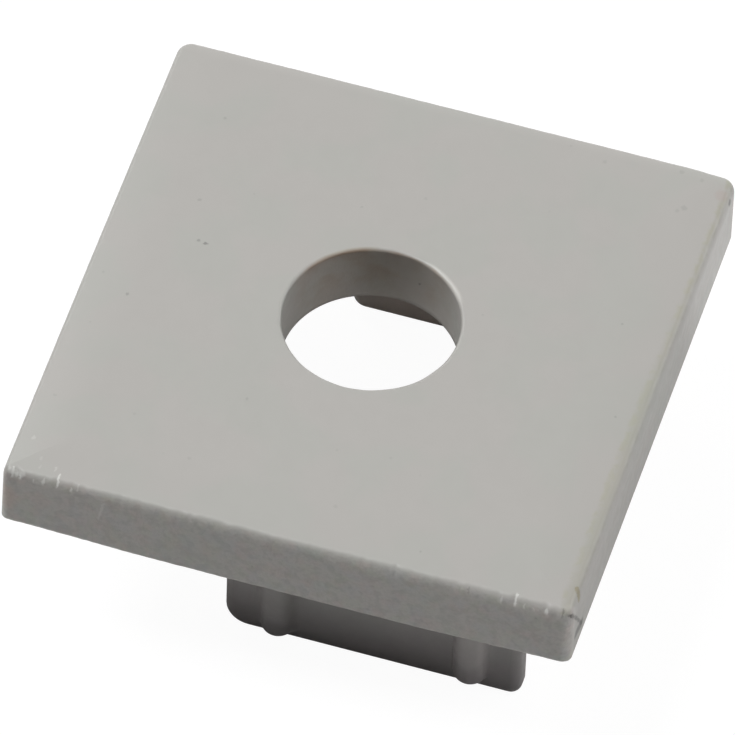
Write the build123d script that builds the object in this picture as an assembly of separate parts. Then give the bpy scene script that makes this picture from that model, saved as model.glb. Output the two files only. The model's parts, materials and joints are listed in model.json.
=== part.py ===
from build123d import *
from math import atan2, degrees
import os

# End cap for a square hollow profile, moulded in one piece, in millimetres.
# The origin is under the middle of the plate, level with the leg tips. +Z is up,
# towards the outer face, and both legs lie nearer the +X side of the plate.

# Face plate, which covers the end of the profile
plate_side = 20.0
plate_thickness = 2.9
plate_corner_radius = 0.5
outer_edge_radius = 0.12
under_edge_radius = 0.1
side_lean = 0.1
side_lean_height = 0.5

# Cable hole through the middle of the plate
hole_radius = 3.05
hole_rim_radius = 0.1
hole_lead_in = 0.45

# Two straight legs, which push in between the side walls of the profile
leg_inset = 2.2
leg_length = 10.5
leg_thickness = 1.0
leg_height = 5.3
leg_edge_radius = 0.3
leg_open_corner_radius = 0.8
leg_wall_corner_radius = 0.35

# Two half-round crush ribs on the outer side of each leg
rib_radius = 0.6
rib_proud = 0.5
rib_end_inset = 1.8
rib_tip_gap = 0.25
rib_root_radius = 0.15

# How near the leg's outer side an edge has to be to count as lying on it
same_place = 0.01

# Levels and places that follow from the sizes above
under_face_z = leg_height
outer_face_z = leg_height + plate_thickness
leg_outer_y = plate_side / 2 - leg_inset
leg_wall_end_x = plate_side / 2 - leg_inset
leg_open_end_x = leg_wall_end_x - leg_length


def make_plate():
    """Square plate whose sides lean in below the rounded outer edge, and the hole with its rims."""
    outline = RectangleRounded(plate_side, plate_side, plate_corner_radius)
    lean_start_z = outer_face_z - side_lean_height
    plate = Pos(0, 0, under_face_z) * extrude(outline, plate_thickness - side_lean_height)
    lean_angle = degrees(atan2(side_lean, side_lean_height))
    plate += Pos(0, 0, lean_start_z) * extrude(outline, side_lean_height, taper=lean_angle)
    plate = fillet(plate.faces().sort_by(Axis.Z)[-1].edges(), outer_edge_radius)
    plate = fillet(plate.faces().sort_by(Axis.Z)[0].edges(), under_edge_radius)

    drill = Cylinder(hole_radius, plate_thickness, align=(Align.CENTER, Align.CENTER, Align.MIN))
    plate -= Pos(0, 0, under_face_z) * drill
    outer_rim = plate.faces().sort_by(Axis.Z)[-1].edges().filter_by(GeomType.CIRCLE).sort_by(SortBy.RADIUS)[-1]
    plate = fillet(outer_rim, hole_rim_radius)
    under_rim = plate.faces().sort_by(Axis.Z)[0].edges().filter_by(GeomType.CIRCLE).sort_by(SortBy.RADIUS)[-1]
    return chamfer(under_rim, hole_lead_in)


def make_leg():
    """The front leg, with its side view drawn in XZ and its outer side facing -Y."""
    with BuildPart() as leg:
        with BuildSketch(Plane.XZ.offset(leg_outer_y)):
            with Locations((leg_open_end_x, 0)):
                Rectangle(leg_length, leg_height, align=(Align.MIN, Align.MIN))
        extrude(amount=-leg_thickness)
        lower_corner = leg.edges().filter_by(Axis.Y).group_by(Axis.Z)[0].sort_by(Axis.X)[0]
        fillet(lower_corner, leg_open_corner_radius)
        lower_corner = leg.edges().filter_by(Axis.Y).group_by(Axis.Z)[0].sort_by(Axis.X)[-1]
        fillet(lower_corner, leg_wall_corner_radius)
        sides = leg.faces().filter_by(Axis.Y)
        fillet(sides.edges() - leg.faces().sort_by(Axis.Z)[-1].edges(), leg_edge_radius)
    return leg.part


def make_rib(x):
    """A vertical half-round crush rib on the front leg, with a domed lower end."""
    axis_y = -leg_outer_y + rib_radius - rib_proud
    dome_z = rib_tip_gap + rib_radius
    shaft = Cylinder(rib_radius, under_face_z - dome_z, align=(Align.CENTER, Align.CENTER, Align.MIN))
    return Pos(x, axis_y, dome_z) * (shaft + Sphere(rib_radius))


def add_ribs(leg):
    """The leg with its crush ribs, which blend into its outer side."""
    for rib_x in (leg_open_end_x + rib_end_inset, leg_wall_end_x - rib_end_inset):
        leg += make_rib(rib_x)
        beside_rib = leg.edges().filter_by_position(Axis.X, rib_x - rib_radius, rib_x + rib_radius)
        roots = beside_rib.filter_by_position(Axis.Y, -leg_outer_y - same_place, -leg_outer_y + same_place)
        leg = fillet(roots, rib_root_radius)
    return leg


front_leg = add_ribs(make_leg())
end_cap = make_plate() + front_leg + mirror(front_leg, about=Plane.XZ)

os.makedirs("parts", exist_ok=True)
export_step(end_cap, "parts/end_cap.step")
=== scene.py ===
import json
import math

import bmesh
import bpy
import numpy as np
from mathutils import Matrix, Vector, noise


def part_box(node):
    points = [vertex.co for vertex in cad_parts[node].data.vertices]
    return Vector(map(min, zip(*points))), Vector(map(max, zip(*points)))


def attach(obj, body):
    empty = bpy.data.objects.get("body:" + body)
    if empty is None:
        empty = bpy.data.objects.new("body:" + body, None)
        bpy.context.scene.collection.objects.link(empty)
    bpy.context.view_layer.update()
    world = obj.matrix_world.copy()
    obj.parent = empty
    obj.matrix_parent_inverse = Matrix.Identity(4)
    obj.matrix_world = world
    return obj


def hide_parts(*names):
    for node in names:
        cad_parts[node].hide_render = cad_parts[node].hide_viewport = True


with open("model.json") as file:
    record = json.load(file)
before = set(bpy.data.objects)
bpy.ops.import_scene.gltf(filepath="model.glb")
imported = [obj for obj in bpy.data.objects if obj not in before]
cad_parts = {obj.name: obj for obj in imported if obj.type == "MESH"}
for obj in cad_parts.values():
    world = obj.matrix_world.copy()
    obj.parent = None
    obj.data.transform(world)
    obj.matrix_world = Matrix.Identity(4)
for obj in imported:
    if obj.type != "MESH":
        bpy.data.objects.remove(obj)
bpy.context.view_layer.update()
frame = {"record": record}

# Looks of a moulded end cap for a square hollow profile. Lengths are in millimetres
# until a mesh is made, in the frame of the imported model: +Z up, legs on the floor.
MM = 0.001
BODY = "root"
NODE = "end_cap"


def mount(name):
    """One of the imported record's mounts, by its name."""
    return next(m for m in frame["record"]["mounts"] if m["name"] == name)


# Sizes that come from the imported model
box_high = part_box(NODE)[1] / MM
plate_half = box_high.x
outer_face = box_high.z
under_face = mount("profile_end_seat")["pos_m"][2] / MM
hole_radius = mount("cable_hole")["dims"]["r_mm"]

# Plate. Its corners go front right, rear right, rear left, front left, and its sides front,
# right, rear, left. Its outer edge is rounded further down the sides than across the face,
# and a little more across the face near the front right corner.
corner_radii = (0.42, 0.5, 0.55, 0.36)
edge_insets = (0.29, 0.26, 0.2, 0.2)
edge_drops = (0.58, 0.48, 0.42, 0.42)
front_right_inset = 0.08

# Share of a corner's radius that the rounding of the outer edge may take up there at most
corner_room = 0.9

# The face falls away near the plate's edge, over this width, more at the front than at the rear
crown_width = 2.2
front_crown_drop = 0.2
rear_crown_drop = 0.06

# The under edge, which is more worn along the front, from some way off the middle to the corners
under_edge_radius = 0.12
worn_under_radius = 0.32
worn_under_start = 4.0

# How far the left side leans in at its front end, and the rear side at its right end, where
# that begins this far along X
left_lean = 0.1
rear_lean = 0.07
rear_lean_start = 8.0

# Hole. The mould's pin stood a little off the middle.
hole_middle = (-0.05, 0.02)
rim_radius = 0.12
lead_in = 0.45

# Legs. The front and the rear one differ in the lower corner at their open ends.
leg_inset = 2.2
leg_length = 10.5
leg_thickness = 1.0
leg_edge_radius = 0.36
front_open_radius = 0.86
rear_open_radius = 0.5
wall_corner_radius = 0.42

# Crush ribs, two on each leg's outer side. Pairs go open end, wall end: how far a rib stands
# off its even place, how far it ends above the leg's tip, and the fillet at its root.
rib_radius = 0.6
rib_proud = 0.5
rib_end_inset = 1.8
rib_shifts = (0.12, 0.02)
rib_tip_gaps = (0.38, 0.46)
rib_root_radii = (0.32, 0.1)

# Height of a rib's rounded lower end, and the power of its outline. 2 would be an ellipse.
rib_dome = 0.4
rib_dome_power = 2.5

# How far legs and ribs reach up into the plate, to be joined with it
root_overlap = 0.6

leg_outer = plate_half - leg_inset
leg_wall_end = plate_half - leg_inset
leg_open_end = leg_wall_end - leg_length

# Wear of the outer edge: how ragged it is along the front and along the other sides, how wide
# its coarse and fine notches are, how much the coarse ones count, and how much further down
# than inwards it goes
front_ragged = 0.055
other_ragged = 0.012
coarse_notch = 0.5
fine_notch = 0.2
coarse_share = 0.8
wear_drop = 1.5

# The same for the under edge along the front, and for the hole's rim as a share of its radius
under_ragged = 0.03
under_notch = 0.25
rim_ragged = 0.3
rim_notch = 0.5

# Chips in the front edge: place along X, half width, how far it bites into the face
front_chips = (
    (-9.42, 0.12, 0.06),
    (-8.45, 0.10, 0.05),
    (-8.05, 0.09, 0.07),
    (-7.46, 0.10, 0.06),
    (3.84, 0.07, 0.07),
    (6.35, 0.08, 0.06),
    (7.46, 0.08, 0.05),
    (8.02, 0.10, 0.08),
    (9.08, 0.09, 0.06),
)

# Depth of the moulded grain on the sides, in the bump, and the share of it elsewhere
grain_depth = 0.02
ungrained_share = 0.15

# How rough the plastic is, from its smoothest patches to its roughest
roughness_range = (0.36, 0.48)

# Mesh density: points along the plate's sides and corners, and rows of each part of its skin
front_points = 300
side_points = 140
corner_points = 14
arc_rows = 9
lead_in_rows = 3
wall_rows = 13
rim_rows = 6
face_rows = 29
side_rows = 15
under_edge_rows = 5
under_rows = 4

# The same for legs and ribs. The dome's first rows would be crowded at its tip.
leg_corner_points = 10
root_points = 7
rib_points = 34
dome_rows = 15
dome_rows_left_out = 2


def smooth_step(low, high, value):
    """0 below low, 1 above high, with a soft turn at both."""
    t = np.clip((value - low) / (high - low), 0, 1)
    return t * t * (3 - 2 * t)


def noise_at(points, scale, seed):
    """Smooth noise between about -1 and 1, for an array of flat points, with bumps about scale wide."""
    shift = Vector((seed * 17.3, seed * 5.1, seed * 9.7))
    return np.array([noise.noise(Vector((x, y, 0)) / scale + shift) for x, y in points])


def skin(name, rings, closed=False):
    """An object with quads between rings of equally many points. Open ends are capped."""
    count = len(rings[0])
    points = np.concatenate(rings)
    faces = []
    last = len(rings) if closed else len(rings) - 1
    for row in range(last):
        here, there = row * count, (row + 1) % len(rings) * count
        for k in range(count):
            after = (k + 1) % count
            faces.append((here + k, here + after, there + after, there + k))
    if not closed:
        faces.append(tuple(range(count)))
        faces.append(tuple(range(len(points) - count, len(points))))
    mesh = bpy.data.meshes.new(name)
    mesh.from_pydata((points * MM).tolist(), [], faces)
    bm = bmesh.new()
    bm.from_mesh(mesh)
    bmesh.ops.recalc_face_normals(bm, faces=bm.faces)
    bm.to_mesh(mesh)
    bm.free()
    made = bpy.data.objects.new(name, mesh)
    bpy.context.scene.collection.objects.link(made)
    return made


def plate_outline():
    """Points once round the plate's widest outline, the way out at each, and the room inside it."""
    base, ways, rooms = [], [], []
    for side, count in enumerate((front_points, side_points, side_points, side_points)):
        turn = side * math.pi / 2
        turned = Matrix.Rotation(turn, 2)
        start = -plate_half + corner_radii[side - 1]
        stop = plate_half - corner_radii[side]
        for k in range(count):
            along = start + (stop - start) * (k + 0.5) / count
            base.append(turned @ Vector((along, -plate_half)))
            ways.append(turned @ Vector((0, -1)))
            rooms.append(plate_half)
        centre = turned @ Vector((stop, -stop))
        for k in range(corner_points):
            angle = turn - math.pi / 2 + math.pi / 2 * k / (corner_points - 1)
            way = Vector((math.cos(angle), math.sin(angle)))
            base.append(centre + way * corner_radii[side])
            ways.append(way)
            rooms.append(corner_room * corner_radii[side])
    return np.array(base), np.array(ways), np.array(rooms)


def by_side(ways, sizes):
    """A size at each point of the outline, from its four values by side."""
    toward = np.column_stack([-ways[:, 1], ways[:, 0], ways[:, 1], -ways[:, 0]])
    return np.clip(toward, 0, 1) ** 2 @ np.array(sizes)


def edge_wear(base, ways):
    """How far the outer edge is worn back at each point of the outline."""
    front = by_side(ways, (1, 0, 0, 0))
    ragged = other_ragged + (front_ragged - other_ragged) * front
    wear = ragged * (coarse_share * noise_at(base, coarse_notch, 1) + noise_at(base, fine_notch, 2))
    for x, half_width, bite in front_chips:
        wear += front * bite * np.exp(-((base[:, 0] - x) / half_width) ** 2)
    return np.maximum(wear, -0.5 * min(edge_insets))


def crown(points):
    """The outer face's level at flat points: it falls away a little near the plate's edge."""
    depth = plate_half - np.abs(points).max(axis=1)
    drop = np.interp(points[:, 1], (-plate_half, plate_half), (front_crown_drop, rear_crown_drop))
    return outer_face - drop * np.clip(1 - depth / crown_width, 0, 1) ** 2


def eased(rows):
    """Shares from 0 towards 1 for some rows, closer together at both ends."""
    return 0.5 - 0.5 * np.cos(np.linspace(0, math.pi, rows + 1)[:-1])


def plate_rings():
    """Rings of the plate, from the hole's lead-in over the outer face and back underneath."""
    base, ways, rooms = plate_outline()
    wear = edge_wear(base, ways)
    frontness = (plate_half - base[:, 1]) / (2 * plate_half)
    lean_x = left_lean * by_side(ways, (0, 0, 0, 1)) * frontness ** 2
    lean_y = -rear_lean * by_side(ways, (0, 0, 1, 0)) * smooth_step(rear_lean_start, plate_half, base[:, 0])
    lean = np.column_stack([lean_x, lean_y])

    def outline(inset, z):
        """A ring round the plate, moved inwards, which leans in more the higher it lies."""
        height = (z - under_face) / (outer_face - under_face)
        flat = base - np.reshape(inset, (-1, 1)) * ways + np.reshape(height, (-1, 1)) * lean
        return np.column_stack([flat, np.broadcast_to(z, len(flat))])

    spokes = base / np.linalg.norm(base, axis=1, keepdims=True)
    rim_wear = 1 + rim_ragged * noise_at(spokes * hole_radius, rim_notch, 5)

    def circle(radius, z):
        """A ring round the hole."""
        flat = np.reshape(radius, (-1, 1)) * spokes + hole_middle
        return np.column_stack([flat, np.broadcast_to(z, len(flat))])

    # Up the hole: its lead-in, wall and rim
    rings = []
    for t in np.linspace(0, 1, lead_in_rows + 1)[:-1]:
        rings.append(circle(hole_radius + lead_in * (1 - t), under_face + lead_in * t))
    rim_size = rim_radius * rim_wear
    wall_top = outer_face - rim_size
    for t in np.linspace(0, 1, wall_rows + 1)[:-1]:
        rings.append(circle(hole_radius, (under_face + lead_in) * (1 - t) + wall_top * t))
    for angle in np.linspace(0, math.pi / 2, rim_rows + 1)[:-1]:
        inset = rim_size * (1 - math.cos(angle))
        rings.append(circle(hole_radius + inset, wall_top + rim_size * math.sin(angle)))

    # Across the outer face and over its edge
    front = by_side(ways, (1, 0, 0, 0))
    rightness = smooth_step(0, plate_half, base[:, 0])
    inset = by_side(ways, edge_insets) + wear + front_right_inset * front * rightness
    inset = np.minimum(inset, rooms)
    drop = by_side(ways, edge_drops) + wear_drop * wear
    inner = circle(hole_radius + rim_size, outer_face)
    outer = outline(inset, outer_face)
    for t in eased(face_rows):
        ring = inner + (outer - inner) * t
        ring[:, 2] = crown(ring[:, :2])
        rings.append(ring)
    top_z = crown(outer[:, :2])
    for angle in np.linspace(math.pi / 2, 0, arc_rows + 1)[:-1]:
        rings.append(outline(inset * (1 - math.cos(angle)), top_z - drop * (1 - math.sin(angle))))

    # Down the sides and back to the hole underneath
    extra = front * smooth_step(worn_under_start, plate_half, np.abs(base[:, 0]))
    under_radius = under_edge_radius + (worn_under_radius - under_edge_radius) * extra
    under_radius += under_ragged * front * noise_at(base, under_notch, 7)
    low_z = under_face + under_radius
    for t in eased(side_rows):
        rings.append(outline(0, (top_z - drop) * (1 - t) + low_z * t))
    for angle in np.linspace(0, math.pi / 2, under_edge_rows + 1)[:-1]:
        rings.append(outline(under_radius * (1 - math.cos(angle)), low_z - under_radius * math.sin(angle)))
    outer = outline(under_radius, under_face)
    inner = circle(hole_radius + lead_in, under_face)
    for t in np.linspace(0, 1, under_rows + 1)[:-1]:
        rings.append(outer + (inner - outer) * t)
    return rings


def make_plate():
    """The square plate with its hole."""
    return skin("plate", plate_rings(), closed=True)


def leg_rings(open_corner_radius):
    """Rings of the front leg across its thickness, from the outer side to the inner one."""
    corners = (
        (leg_open_end, 0.0, 1, 1, open_corner_radius),
        (leg_wall_end, 0.0, -1, 1, wall_corner_radius),
        (leg_wall_end, under_face + root_overlap, -1, -1, wall_corner_radius),
        (leg_open_end, under_face + root_overlap, 1, -1, wall_corner_radius),
    )

    def ring(inset, y):
        points = []
        for quarter, (x, z, in_x, in_z, radius) in enumerate(corners):
            centre_x, centre_z = x + in_x * radius, z + in_z * radius
            start = math.pi + quarter * math.pi / 2
            reach = radius - inset
            for angle in np.linspace(start, start + math.pi / 2, leg_corner_points):
                points.append((centre_x + reach * math.cos(angle), y, centre_z + reach * math.sin(angle)))
        return np.array(points)

    middle = -leg_outer + leg_thickness / 2
    straight = leg_thickness / 2 - leg_edge_radius
    rings = []
    for angle in np.linspace(-math.pi / 2, math.pi / 2, 2 * arc_rows + 1):
        inset = leg_edge_radius * (1 - math.cos(angle))
        side = straight * np.sign(round(angle, 6))
        rings.append(ring(inset, middle + side + leg_edge_radius * math.sin(angle)))
    return rings


def arc(x, y, radius, start, stop, count):
    """Points on an arc round a flat place, between two angles."""
    angles = np.linspace(start, stop, count)
    return [(x + radius * math.cos(angle), y + radius * math.sin(angle)) for angle in angles]


def rib_rings(x, tip_gap, root_radius):
    """Rings of one crush rib, from its domed lower end up into the plate."""
    axis_y = -leg_outer + rib_radius - rib_proud
    sunk = rib_radius - rib_proud
    dome_z = tip_gap + rib_dome

    def ring(radius, z):
        root = root_radius * radius / rib_radius
        half_width = math.sqrt(max((radius + root) ** 2 - (sunk + root) ** 2, 0))
        touch = math.asin(min((sunk + root) / (radius + root), 1))
        left, right, root_y = x - half_width, x + half_width, -leg_outer - root
        points = [(left, axis_y + sunk)]
        points += arc(left, root_y, root, math.pi / 2, touch, root_points)
        points += arc(x, axis_y, radius, math.pi + touch, 2 * math.pi - touch, rib_points)
        points += arc(right, root_y, root, math.pi - touch, math.pi / 2, root_points)
        points.append((right, axis_y + sunk))
        return np.column_stack([np.array(points), np.full(len(points), z)])

    power = 2 / rib_dome_power
    rings = []
    for angle in np.linspace(0, math.pi / 2, dome_rows + 1)[dome_rows_left_out:]:
        low_z = dome_z - rib_dome * max(math.cos(angle), 0) ** power
        rings.append(ring(rib_radius * math.sin(angle) ** power, low_z))
    rings.append(ring(rib_radius, under_face + root_overlap))
    return rings


def mirrored(piece):
    """A piece turned over to the other side of the XZ plane."""
    piece.data.transform(Matrix.Scale(-1, 4, (0, 1, 0)))
    piece.data.flip_normals()
    return piece


def apply_modifiers(piece):
    """Replaces a piece's mesh with what its modifiers make of it."""
    graph = bpy.context.evaluated_depsgraph_get()
    made = bpy.data.meshes.new_from_object(piece.evaluated_get(graph))
    piece.modifiers.clear()
    piece.data = made


def join_solids(base, others):
    """Unites solids into base and removes the others."""
    for other in others:
        union = base.modifiers.new("union", "BOOLEAN")
        union.operation = "UNION"
        union.solver = "EXACT"
        union.object = other
    apply_modifiers(base)
    for other in others:
        bpy.data.objects.remove(other)


def make_leg(open_corner_radius):
    """A leg with its two crush ribs."""
    leg = skin("leg", leg_rings(open_corner_radius))
    open_rib = leg_open_end + rib_end_inset + rib_shifts[0]
    wall_rib = leg_wall_end - rib_end_inset + rib_shifts[1]
    ribs = zip((open_rib, wall_rib), rib_tip_gaps, rib_root_radii)
    join_solids(leg, [skin("rib", rib_rings(*rib)) for rib in ribs])
    return leg


def make_cap():
    """The whole cap as one closed mesh."""
    cap = make_plate()
    join_solids(cap, [make_leg(front_open_radius), mirrored(make_leg(rear_open_radius))])
    cap.name = cap.data.name = "cap_moulding"
    return cap


def smooth(piece):
    """Smooth shading over the rounded edges, flat faces kept flat."""
    piece.data.shade_smooth()
    weighted = piece.modifiers.new("flat faces", "WEIGHTED_NORMAL")
    weighted.mode = "FACE_AREA"
    weighted.weight = 100


cap = make_cap()
smooth(cap)


# Share of a blob's radius and of a stroke's half width that is fully covered
blob_core = 0.45
stroke_core = 0.35


class Graph:
    """Short calls that add one material's nodes. Places and lengths in them are millimetres."""

    def __init__(self, material):
        self.nodes = material.node_tree.nodes
        self.links = material.node_tree.links
        objects = self.nodes.new("ShaderNodeTexCoord")
        self.place = self.vector("SCALE", objects.outputs["Object"], scale=1 / MM)
        self.normal = objects.outputs["Normal"]
        self.x, self.y, self.z = self.split(self.place)

    def put(self, node, inputs):
        """Links or sets a node's inputs in order. None leaves one as it is."""
        for socket, value in zip(node.inputs, inputs):
            if value is None:
                continue
            if isinstance(value, bpy.types.NodeSocket):
                self.links.new(value, socket)
            else:
                socket.default_value = value
        return node

    def math(self, operation, a, b=None, clamp=False):
        """A Math node."""
        node = self.nodes.new("ShaderNodeMath")
        node.operation = operation
        node.use_clamp = clamp
        return self.put(node, (a, b)).outputs[0]

    def product(self, first, *others):
        """All the values multiplied."""
        for other in others:
            first = self.math("MULTIPLY", first, other)
        return first

    def vector(self, operation, a, b=None, scale=None):
        """A Vector Math node. Gives its number for a length, distance or dot product."""
        node = self.nodes.new("ShaderNodeVectorMath")
        node.operation = operation
        self.put(node, (a, b, None, scale))
        single = operation in ("LENGTH", "DISTANCE", "DOT_PRODUCT")
        return node.outputs["Value" if single else "Vector"]

    def split(self, vector):
        """The three numbers of a vector."""
        node = self.nodes.new("ShaderNodeSeparateXYZ")
        self.links.new(vector, node.inputs[0])
        return node.outputs

    def noise_node(self, size, detail, roughness, seed):
        """A noise texture with patches about size millimetres wide."""
        node = self.nodes.new("ShaderNodeTexNoise")
        node.inputs["Scale"].default_value = 1 / size
        node.inputs["Detail"].default_value = detail
        node.inputs["Roughness"].default_value = roughness
        shifted = self.vector("ADD", self.place, (seed, 2.3 * seed, 1.7 * seed))
        self.links.new(shifted, node.inputs["Vector"])
        return node

    def noise(self, size, detail=2.0, roughness=0.5, seed=0.0):
        """Noise around 0.5."""
        return self.noise_node(size, detail, roughness, seed).outputs["Fac"]

    def shake(self, size, amount):
        """The place, moved about by noise, for ragged borders."""
        colour = self.noise_node(size, 2.0, 0.5, 11.0).outputs["Color"]
        offset = self.vector("SUBTRACT", colour, (0.5, 0.5, 0.5))
        return self.vector("ADD", self.place, self.vector("SCALE", offset, scale=amount))

    def step(self, value, low, high, bottom=0.0, top=1.0):
        """A soft step from bottom to top as value goes from low to high."""
        node = self.nodes.new("ShaderNodeMapRange")
        node.interpolation_type = "SMOOTHSTEP"
        self.put(node, (value, low, high, bottom, top))
        return node.outputs["Result"]

    def mix(self, share, a, b, blend="MIX"):
        """A colour mix of a and b."""
        node = self.nodes.new("ShaderNodeMix")
        node.data_type = "RGBA"
        node.blend_type = blend
        for socket, value in ((node.inputs[0], share), (node.inputs[6], a), (node.inputs[7], b)):
            if isinstance(value, bpy.types.NodeSocket):
                self.links.new(value, socket)
            else:
                socket.default_value = value
        return node.outputs[2]

    def blob(self, middle, radius, place=None):
        """A soft round mask."""
        reach = self.vector("DISTANCE", place or self.place, middle)
        return self.step(reach, radius, radius * blob_core)

    def stroke(self, start, end, width, place=None):
        """A soft mask along a straight stroke."""
        along = Vector(end) - Vector(start)
        offset = self.vector("SUBTRACT", place or self.place, start)
        run = self.vector("DOT_PRODUCT", offset, along)
        share = self.math("MULTIPLY", run, 1 / along.length_squared, clamp=True)
        nearest = self.vector("SCALE", tuple(along), scale=share)
        reach = self.vector("DISTANCE", offset, nearest)
        return self.step(reach, width, width * stroke_core)


def grey(level):
    """A neutral colour."""
    return (level, level, level, 1)


# Colours of the plastic, tints that are multiplied with it, and colours that cover it
plastic_colour = (0.452, 0.439, 0.417, 1)
grained_tint = (0.965, 0.95, 0.945, 1)
greenish_tint = (0.978, 1.0, 0.99, 1)
bluish_tint = (0.97, 0.985, 1.015, 1)
reddish_tint = (1.025, 0.975, 0.975, 1)
green_tint = (0.98, 1.01, 0.97, 1)
edge_dirt = (0.82, 0.82, 0.74, 1)
olive_dirt = (0.97, 0.97, 0.90, 1)
wall_dirt = (0.87, 0.76, 0.69, 1)
rim_dirt = (0.90, 0.82, 0.74, 1)
inner_leg_tint = (1.13, 1.02, 1.0, 1)
corner_tint = (1.06, 0.94, 0.90, 1)
blush_tint = (0.985, 0.93, 0.92, 1)
# Painted shade for the legs' outer sides, darker towards their tips
leg_painted_shade = (0.53, 0.50, 0.53, 1)
brown_tint = (0.70, 0.65, 0.48, 1)
chip_colour = (0.70, 0.70, 0.67, 1)

# The sides' grain: width of its hollows and of the wider pits, and the tone that each has
grain_width = 0.13
grain_tone = 0.92
pit_width = 0.3
pit_tone = 0.9

# Patches of faint colour: width over the whole cap, and width, seed and tint on the grained sides
patch_width = 2.2
side_patches = (
    (0.75, 3.1, bluish_tint),
    (0.6, 7.7, reddish_tint),
    (0.5, 9.2, green_tint),
)

# Dust: distance between its specks, their radius in such distances, and their tone
dust_spacing = 0.9
dust_radius = 0.075
dust_tone = 0.84

# The dirty line along the +X edge of the face. Its inner border runs from one place in X and Y
# at the rear to another in front, and it reaches this far down. A broken seam follows the border.
line_rear = (9.86, 8.0)
line_front = (9.66, -3.0)
line_depth = 0.25
line_strength = 0.62
seam_offset = 0.08
seam_half_width = 0.16

# A painted reflection of the lit floor on the rear part of the +X side: where it begins and is full along
# Y, and its tone
reflection_start_y = 3.2
reflection_end_y = 5.2
reflection_tone = 1.14

# Dirt in the hole: its direction from the middle in degrees, how far from the middle it begins,
# parts of the rim with a tone of their own by place and radius (a painted highlight at the right
# rear, brownish dirt at the left rear), and a dark spot on the wall
hole_dirt_angle = 105
hole_dirt_start = 1.0
rim_highlight_and_dirt = (
    ((1.9, 2.45, 8.1), 1.3, grey(1.3)),
    ((-1.9, 2.5, 8.1), 1.6, rim_dirt),
)
wall_spot = ((0.78, 2.95, 7.05), 0.13)
wall_spot_tone = 0.6

# Faint colour low at the front left corner and beside the rear right one, by place and radius
corner_blotch = ((-10.0, -10.0, 6.7), 0.9)
rear_blush = ((9.70, 9.02, outer_face), 0.32)

# A painted highlight on the rounding along the rear edge
rear_edge_highlight = 1.05

# How dark each kind of mark is, where 0 is black, and how pale the painted highlight on the front right
# corner is
speck_tone = 0.25
tick_tone = 0.3
fleck_tone = 0.45
scratch_tone = 0.48
scratch_end_tone = 0.45
corner_highlight_tone = 1.2

# Dark specks on the outer face: place in X and Y, radius, how dark
face_specks = (
    (-6.38, 1.43, 0.10, 0.55),
    (-6.64, 1.49, 0.08, 0.38),
    (-7.45, 6.95, 0.08, 0.22),
    (-7.16, 3.21, 0.09, 0.22),
    (-8.22, -1.53, 0.08, 0.32),
    (-9.19, -6.42, 0.08, 0.12),
    (-6.39, -6.41, 0.09, 0.10),
    (-4.05, -7.65, 0.08, 0.12),
    (-3.00, -4.61, 0.08, 0.18),
    (-1.83, 4.64, 0.07, 0.18),
    (1.20, -8.09, 0.10, 0.10),
    (5.47, 9.19, 0.10, 0.12),
    (0.14, 5.68, 0.08, 0.10),
    (8.62, 8.05, 0.15, 0.16),
    (8.45, 7.85, 0.10, 0.12),
    (8.11, 9.59, 0.12, 0.12),
    (8.87, 9.46, 0.10, 0.12),
)

# Pale marks where the front edge is chipped: place along X, from and to along Y, half width, how pale
pale_marks = (
    (-9.54, -10.0, -9.74, 0.06, 0.9),
    (-9.42, -9.98, -9.88, 0.09, 0.6),
    (-9.27, -10.0, -9.90, 0.06, 0.8),
    (-8.80, -10.0, -9.97, 0.06, 0.5),
    (-8.46, -9.98, -9.86, 0.07, 0.6),
    (-7.97, -9.90, -9.58, 0.055, 0.85),
    (-8.18, -9.50, -9.34, 0.045, 0.3),
    (-7.47, -10.0, -9.90, 0.06, 0.6),
    (-7.25, -9.90, -9.76, 0.05, 0.3),
    (-9.30, -8.41, -8.35, 0.08, 0.28),
    (-8.79, -9.18, -9.12, 0.07, 0.18),
    (-8.71, -9.52, -9.44, 0.06, 0.18),
    (8.02, -10.0, -9.66, 0.07, 0.95),
    (9.11, -9.98, -9.88, 0.085, 0.9),
    (7.55, -9.98, -9.88, 0.05, 0.35),
    (8.35, -10.0, -9.90, 0.06, 0.4),
    (8.68, -10.0, -9.94, 0.07, 0.3),
)

# Dark ticks on the front edge: place along X, from and to along Y, half width, how dark
edge_ticks = (
    (6.41, -9.98, -9.82, 0.05, 0.30),
    (6.10, -9.98, -9.90, 0.05, 0.18),
    (3.84, -9.98, -9.88, 0.05, 0.15),
    (9.67, -10.0, -9.78, 0.05, 0.45),
)

# The dark fleck at the rear right corner, and the brown stain at the front right one
rear_fleck = ((9.98, 9.05, 7.84), 0.17)
brown_stain = ((9.86, -8.80, 8.0), (9.98, -8.98, 7.78))
brown_stain_width = 0.16

# The fine scratch from the front right corner down the +X side, and the dirt at its lower end
corner_scratch_width = 0.1
corner_scratch = (
    (9.70, -9.95, 7.98),
    (9.88, -9.90, 7.93),
    (9.96, -9.77, 7.80),
    (10.0, -9.33, 7.19),
    (10.0, -8.55, 5.95),
)
scratch_end = ((10.0, -8.55, 5.98), (10.0, -9.20, 6.20))
scratch_end_width = 0.28

# A painted highlight down the rounding of the front right corner
corner_highlight = ((9.88, -9.75, 5.5), (9.88, -9.75, 7.8))
corner_highlight_width = 0.42

# A pale scratch on the front side and the smear at the front left corner: ends, half width, how pale
front_scratch = ((-6.32, -10.0, 7.63), (-6.49, -10.0, 6.80))
corner_smear = ((-9.62, -9.85, 7.98), (-9.20, -9.90, 7.95))
pale_strokes = (
    (front_scratch, 0.07, 0.25),
    (corner_smear, 0.14, 0.5),
)
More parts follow.
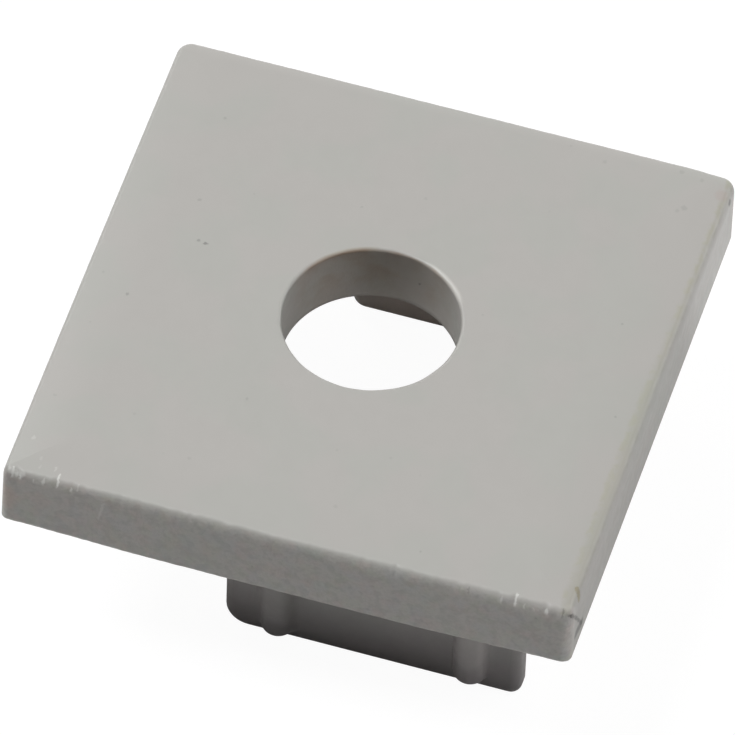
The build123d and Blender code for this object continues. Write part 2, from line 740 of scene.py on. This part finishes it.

# Painted light and shade on the front leg and its ribs: from, to, half width, tone. The right rib and the
# leg left of it are painted paler, as lit from the right, and the left rib's lower end is painted darker.
leg_painted_light = (
    ((6.1, -8.3, 5.3), (6.1, -8.3, 2.0), 0.8, 1.26),
    ((6.62, -8.0, 5.3), (6.62, -8.0, 1.2), 0.42, 1.22),
    ((4.3, -7.8, 5.3), (4.3, -7.8, 4.0), 1.2, 1.12),
    ((-0.78, -8.3, 0.9), (-0.78, -8.3, 0.5), 0.7, 0.74),
)


def tint(graph, colour, mask, shade):
    """A colour multiplied by a shade where a mask is on."""
    return graph.mix(mask, colour, shade, "MULTIPLY")


def mottling(graph, colour, grained):
    """Faint patches all over, and the grain of the front and rear sides."""
    patches = graph.step(graph.noise(patch_width, 1.5), 0.42, 0.62)
    colour = tint(graph, colour, patches, greenish_tint)
    for width, seed, shade in side_patches:
        patches = graph.step(graph.noise(width, 1.5, seed=seed), 0.48, 0.66)
        colour = tint(graph, colour, graph.product(grained, patches), shade)
    colour = tint(graph, colour, grained, grained_tint)
    grain = graph.step(graph.noise(grain_width, 2.0, 0.6), 0.62, 0.30)
    colour = tint(graph, colour, graph.product(grained, grain), grey(grain_tone))
    pits = graph.step(graph.noise(pit_width, 1.5, 0.5, seed=5.3), 0.56, 0.34)
    return tint(graph, colour, graph.product(grained, pits), grey(pit_tone))


def side_dirt_and_reflection(graph, colour, shaken):
    """The dirty line along the +X edge of the face, wider towards the front, and a painted reflection on
    the rear part of the side below it.
    """
    x, y, z = graph.split(shaken)
    border = graph.step(y, line_rear[1], line_front[1], line_rear[0], line_front[0])
    inside = graph.math("SUBTRACT", x, border)
    on_face = graph.step(inside, -0.25, 0.12)
    crown_fall = front_crown_drop - rear_crown_drop - 0.03
    lower = graph.step(y, 4.0, -plate_half, 0.0, crown_fall)
    above = graph.step(graph.math("ADD", z, lower), outer_face - line_depth, outer_face - 0.11)
    colour = tint(graph, colour, graph.product(on_face, above, line_strength), edge_dirt)
    off_seam = graph.math("ABSOLUTE", graph.math("ADD", inside, seam_offset))
    seam = graph.step(off_seam, seam_half_width, 0.03)
    broken = graph.step(graph.noise(0.5, 2.0, seed=6.1), 0.40, 0.56)
    colour = tint(graph, colour, graph.product(seam, broken, above), olive_dirt)
    # Painted reflection: the rear part of the +X side made paler, as if it mirrored the lit floor
    side = graph.step(graph.x, plate_half - 0.2, plate_half - 0.05)
    rear = graph.step(graph.y, reflection_start_y, reflection_end_y)
    return tint(graph, colour, graph.product(side, rear), grey(reflection_tone))


def hole_dirt_and_highlight(graph, colour, shaken):
    """Brownish dirt on the hole's wall, heavier at its rear and towards its top, and on its rim a painted
    highlight and brownish dirt.
    """
    across = graph.vector("MULTIPLY", graph.place, (1, 1, 0))
    near = graph.step(graph.vector("LENGTH", across), hole_radius + 0.2, hole_radius + 0.1)
    shaken_across = graph.vector("MULTIPLY", shaken, (1, 1, 0))
    angle = math.radians(hole_dirt_angle)
    way = graph.vector("DOT_PRODUCT", shaken_across, (math.cos(angle), math.sin(angle), 0))
    rear = graph.step(way, hole_dirt_start, 2.9)
    upper = graph.step(graph.split(shaken)[2], 5.6, 7.9, 0.35, 1.0)
    below = graph.step(graph.z, outer_face - 0.01, outer_face - 0.05)
    patches = graph.step(graph.noise(0.9, 2.5, seed=4.4), 0.36, 0.62, 0.55, 1.25)
    colour = tint(graph, colour, graph.product(near, rear, upper, below, patches), wall_dirt)
    rim = graph.product(near, graph.step(graph.z, outer_face - 0.18, outer_face - 0.08))
    # Parts of the rim: a painted highlight at its right rear, and brownish dirt at its left rear
    for place, radius, shade in rim_highlight_and_dirt:
        colour = tint(graph, colour, graph.product(rim, graph.blob(place, radius)), shade)
    return tint(graph, colour, graph.blob(*wall_spot, shaken), grey(wall_spot_tone))


def leg_painted_light_and_tint(graph, colour, shaken):
    """Painted shade on the legs' outer sides, darker towards their tips, browner inner sides, and painted
    light and shade on the front leg and its ribs.
    """
    height = graph.split(shaken)[2]
    below = graph.step(graph.z, under_face + 0.02, under_face - 0.05)
    off_middle = graph.math("ABSOLUTE", graph.y)
    outer = graph.step(off_middle, leg_outer - leg_thickness * 0.9, leg_outer - leg_thickness * 0.5)
    # Painted shade: the legs' outer sides darker towards their tips
    tip_shade = graph.step(height, 5.2, 0.2, 0.15, 1.0)
    colour = tint(graph, colour, graph.product(below, outer, tip_shade), leg_painted_shade)
    inner = graph.product(below, graph.math("SUBTRACT", 1.0, outer))
    colour = tint(graph, colour, inner, inner_leg_tint)
    # Painted light and shade on the front leg and its ribs
    for start, end, width, tone in leg_painted_light:
        colour = tint(graph, colour, graph.stroke(start, end, width), grey(tone))
    return colour


def face_mark(graph, shaken, x, low_y, high_y, width, strength):
    """A soft mask along Y on the outer face, which also covers the edge's rounding."""
    face = graph.vector("MULTIPLY", shaken, (1, 1, 0))
    upper = graph.step(graph.z, outer_face - 0.5, outer_face - 0.35, 0.0, strength)
    return graph.product(graph.stroke((x, low_y, 0), (x, high_y, 0), width, face), upper)


def dark_marks(graph, colour, shaken):
    """Specks on the face, ticks on the front edge, and the fleck, stain and scratch at the corners."""
    flat = graph.vector("MULTIPLY", shaken, (1, 1, 0))
    on_face = graph.step(graph.z, outer_face - 0.35, outer_face - 0.25)
    for x, y, radius, strength in face_specks:
        speck = graph.blob((x, y, 0), radius, flat)
        colour = tint(graph, colour, graph.product(speck, on_face, strength), grey(speck_tone))
    for tick in edge_ticks:
        colour = tint(graph, colour, face_mark(graph, shaken, *tick), grey(tick_tone))
    colour = tint(graph, colour, graph.blob(*rear_fleck, shaken), grey(fleck_tone))
    colour = tint(graph, colour, graph.blob(*rear_blush, shaken), blush_tint)
    colour = tint(graph, colour, graph.stroke(*brown_stain, brown_stain_width, shaken), brown_tint)
    for start, end in zip(corner_scratch, corner_scratch[1:]):
        scratch = graph.stroke(start, end, corner_scratch_width, shaken)
        colour = tint(graph, colour, scratch, grey(scratch_tone))
    dirt = graph.stroke(*scratch_end, scratch_end_width, shaken)
    return tint(graph, colour, dirt, grey(scratch_end_tone))


def pale_wear_and_highlight(graph, colour, shaken):
    """The painted highlight on the front right corner, the pale scratch, the smear and the bared chips."""
    # Painted highlight down the front right corner
    highlight_mask = graph.stroke(*corner_highlight, corner_highlight_width)
    colour = tint(graph, colour, highlight_mask, grey(corner_highlight_tone))
    for ends, width, strength in pale_strokes:
        bare = graph.product(graph.stroke(*ends, width, shaken), strength)
        colour = graph.mix(bare, colour, chip_colour)
    for mark in pale_marks:
        colour = graph.mix(face_mark(graph, shaken, *mark), colour, chip_colour)
    return colour


def dust(graph, colour):
    """Tiny faint specks scattered over everything."""
    cells = graph.nodes.new("ShaderNodeTexVoronoi")
    cells.inputs["Scale"].default_value = 1 / dust_spacing
    graph.links.new(graph.place, cells.inputs["Vector"])
    dots = graph.step(cells.outputs["Distance"], dust_radius, 0.4 * dust_radius)
    some = graph.step(graph.split(cells.outputs["Color"])[0], 0.35, 0.9)
    return tint(graph, colour, graph.product(dots, some), grey(dust_tone))


def plastic_colours(graph, grained):
    """The plastic's colour with its patches, grain, dust, dirt and wear, and painted light and shade."""
    shaken = graph.shake(0.1, 0.14)
    colour = mottling(graph, plastic_colour, grained)
    colour = dust(graph, colour)
    colour = side_dirt_and_reflection(graph, colour, graph.shake(0.24, 0.24))
    colour = hole_dirt_and_highlight(graph, colour, graph.shake(0.5, 0.8))
    colour = leg_painted_light_and_tint(graph, colour, graph.shake(0.8, 0.9))
    colour = tint(graph, colour, graph.blob(*corner_blotch, shaken), corner_tint)
    # Painted highlight on the rounding along the rear edge
    upper = graph.step(graph.z, outer_face - 0.3, outer_face - 0.1)
    rear_edge = graph.step(graph.y, plate_half - 0.6, plate_half - 0.15)
    colour = tint(graph, colour, graph.product(upper, rear_edge), grey(rear_edge_highlight))
    colour = dark_marks(graph, colour, shaken)
    return pale_wear_and_highlight(graph, colour, shaken)


def plastic():
    """Grey moulded plastic: an even outer face, grained front and rear sides, with dirt, wear and painted
    light and shade.
    """
    material = bpy.data.materials.new("grey_plastic")
    material.use_nodes = True
    graph = Graph(material)
    shader = graph.nodes["Principled BSDF"]

    # The grain is on the plate's front and rear sides, and faint on other upright surfaces
    slope = graph.split(graph.normal)[2]
    upright = graph.step(graph.math("ABSOLUTE", slope), 0.9, 0.4)
    off_middle = graph.math("ABSOLUTE", graph.y)
    outermost = graph.step(off_middle, plate_half - 0.6, plate_half - 0.3, 0.15, 1.0)
    grained = graph.product(upright, outermost)
    graph.links.new(plastic_colours(graph, grained), shader.inputs["Base Color"])

    smoothest, roughest = roughness_range
    roughness = graph.step(graph.noise(0.4, 3.0), 0.3, 0.7, smoothest, roughest)
    graph.links.new(roughness, shader.inputs["Roughness"])

    grain = graph.noise(0.11, 2.5, 0.55, seed=2.2)
    local_depth = graph.math("ADD", graph.product(grained, 1 - ungrained_share), ungrained_share)
    bump = graph.nodes.new("ShaderNodeBump")
    bump.inputs["Strength"].default_value = 1.0
    bump.inputs["Distance"].default_value = grain_depth * MM
    graph.links.new(graph.product(grain, local_depth), bump.inputs["Height"])
    graph.links.new(bump.outputs["Normal"], shader.inputs["Normal"])
    return material


cap.data.materials.clear()
cap.data.materials.append(plastic())
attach(cap, BODY)
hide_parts(NODE)

# Light, floor and background, in metres
middle = Vector((0, 0, outer_face / 2)) * MM
lamp_distance = 1.0
lamp_size = 0.5
floor_half = 1.5


def direction(azimuth, elevation):
    """The way from the cap to a place round it. Azimuth 0 is in front, 90 is +X."""
    a, e = math.radians(azimuth), math.radians(elevation)
    return Vector((math.sin(a) * math.cos(e), -math.cos(a) * math.cos(e), math.sin(e)))


def area_light(name, azimuth, elevation, strength):
    """A square soft light that looks at the cap. Strength 1 shows a facing surface in its own colour."""
    away = direction(azimuth, elevation)
    lamp = bpy.data.lights.new(name, "AREA")
    lamp.shape = "SQUARE"
    lamp.size = lamp_size
    lamp.energy = strength * math.pi ** 2 * lamp_distance ** 2
    holder = bpy.data.objects.new(name, lamp)
    holder.location = middle + away * lamp_distance
    holder.rotation_mode = "QUATERNION"
    holder.rotation_quaternion = away.to_track_quat("Z", "Y")
    bpy.context.scene.collection.objects.link(holder)


# Lamps: azimuth, elevation, strength
lamps = {
    "left_high": (-90, 60, 0.685),
    "left_rear": (-135, 32, 0.211),
    "right_high": (90, 60, 0.196),
    "right": (90, 30, 0.156),
    "right_rear_low": (135, 12, 0.246),
}
for name, settings in lamps.items():
    area_light(name, *settings)


def make_world(strength):
    """The world's light on the cap, and the plain white that the camera and reflections see instead."""
    world = bpy.data.worlds.new("studio")
    bpy.context.scene.world = world
    world.use_nodes = True
    nodes, links = world.node_tree.nodes, world.node_tree.links
    background = nodes["Background"]
    background.inputs["Color"].default_value = (1, 1, 1, 1)
    background.inputs["Strength"].default_value = strength
    white = nodes.new("ShaderNodeBackground")
    white.inputs["Color"].default_value = (1, 1, 1, 1)
    white.inputs["Strength"].default_value = 1.0
    path = nodes.new("ShaderNodeLightPath")
    seen = nodes.new("ShaderNodeMath")
    seen.operation = "MAXIMUM"
    mix = nodes.new("ShaderNodeMixShader")
    links.new(path.outputs["Is Camera Ray"], seen.inputs[0])
    links.new(path.outputs["Is Glossy Ray"], seen.inputs[1])
    links.new(seen.outputs["Value"], mix.inputs["Fac"])
    links.new(background.outputs["Background"], mix.inputs[1])
    links.new(white.outputs["Background"], mix.inputs[2])
    links.new(mix.outputs["Shader"], nodes["World Output"].inputs["Surface"])


# The lamps give all the light that isn't a reflection
world_strength = 0.0
make_world(world_strength)

# How pale the floor is: for the light it sends back, as reflections show it, and as the
# camera shows it, which is a faint shadow over an even glow
floor_albedo = 0.7
mirrored_albedo = 1.0
shadow_albedo = 0.1
floor_glow = 0.955


def make_floor():
    """A wide pale floor. The camera sees it nearly white, with a faint shadow of the cap."""
    mesh = bpy.data.meshes.new("floor")
    signs = ((-1, -1), (1, -1), (1, 1), (-1, 1))
    corners = [(x * floor_half, y * floor_half, 0) for x, y in signs]
    mesh.from_pydata(corners, [], [(0, 1, 2, 3)])
    floor = bpy.data.objects.new("floor", mesh)
    bpy.context.scene.collection.objects.link(floor)
    material = bpy.data.materials.new("pale_floor")
    material.use_nodes = True
    nodes, links = material.node_tree.nodes, material.node_tree.links
    nodes.remove(nodes["Principled BSDF"])

    def diffuse(level):
        node = nodes.new("ShaderNodeBsdfDiffuse")
        node.inputs["Color"].default_value = grey(level)
        return node.outputs["BSDF"]

    path = nodes.new("ShaderNodeLightPath")

    def choose(ray, otherwise, seen):
        node = nodes.new("ShaderNodeMixShader")
        links.new(path.outputs[ray], node.inputs["Fac"])
        links.new(otherwise, node.inputs[1])
        links.new(seen, node.inputs[2])
        return node.outputs["Shader"]

    glow = nodes.new("ShaderNodeEmission")
    glow.inputs["Strength"].default_value = floor_glow
    white = nodes.new("ShaderNodeAddShader")
    links.new(diffuse(shadow_albedo), white.inputs[0])
    links.new(glow.outputs["Emission"], white.inputs[1])
    plain = choose("Is Glossy Ray", diffuse(floor_albedo), diffuse(mirrored_albedo))
    surface = choose("Is Camera Ray", plain, white.outputs["Shader"])
    links.new(surface, nodes["Material Output"].inputs["Surface"])
    mesh.materials.append(material)


make_floor()

# Camera, from a fit of the plate's outline and the hole to the photograph. Angles are in
# degrees, and the aim point is how far the outer face's middle lies off the lens's axis.
camera_azimuth = 15.608
camera_elevation = 50.796
camera_roll = 2.067
camera_lens = 581.6
camera_distance = 401.46
aim_point = (0.171, -1.616)


def make_camera():
    """A long lens, turned about the middle of the outer face, which it holds a little off its axis."""
    away = direction(camera_azimuth, camera_elevation)
    turn = away.to_track_quat("Z", "Y").to_matrix() @ Matrix.Rotation(math.radians(camera_roll), 3, "Z")
    right, up = turn.col[0], turn.col[1]
    target = Vector((0, 0, outer_face))
    lens = bpy.data.cameras.new("camera")
    lens.lens = camera_lens
    lens.sensor_width = 36
    lens.clip_start, lens.clip_end = 0.01, 10
    holder = bpy.data.objects.new("camera", lens)
    place = target + away * camera_distance - right * aim_point[0] + up * aim_point[1]
    holder.location = place * MM
    holder.rotation_mode = "QUATERNION"
    holder.rotation_quaternion = turn.to_quaternion()
    bpy.context.scene.collection.objects.link(holder)
    bpy.context.scene.camera = holder


make_camera()

bpy.context.scene.view_settings.view_transform = "Standard"
